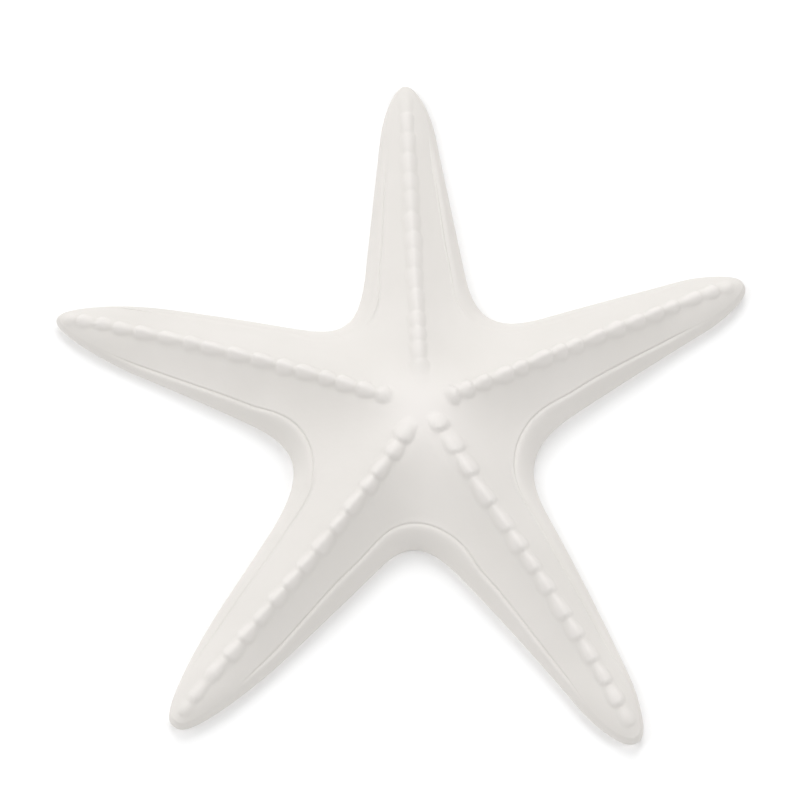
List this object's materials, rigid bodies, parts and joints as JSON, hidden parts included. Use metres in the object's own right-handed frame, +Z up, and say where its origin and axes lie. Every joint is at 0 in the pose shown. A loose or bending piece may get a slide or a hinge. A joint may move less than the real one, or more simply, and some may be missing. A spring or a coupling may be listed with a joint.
{
  "type": "dried starfish",
  "caption": "Dried starfish with slender tapering arms, a plated crest along each arm and a rolled edge, lying on a flat furrowed underside.",
  "frame": {"origin": "centre of the footprint's bounding rectangle, on the surface the starfish lies on", "axes": "+Z up out of the top face, +Y along the arm that points away, +X to the right when seen from above"},
  "size_m": [0.2542, 0.2614, 0.0217],
  "materials": {
    "bleached_skeleton": "smooth matt white"
  },
  "bodies": {
    "root": {"starfish": "bleached_skeleton"}
  },
  "joints": []
}
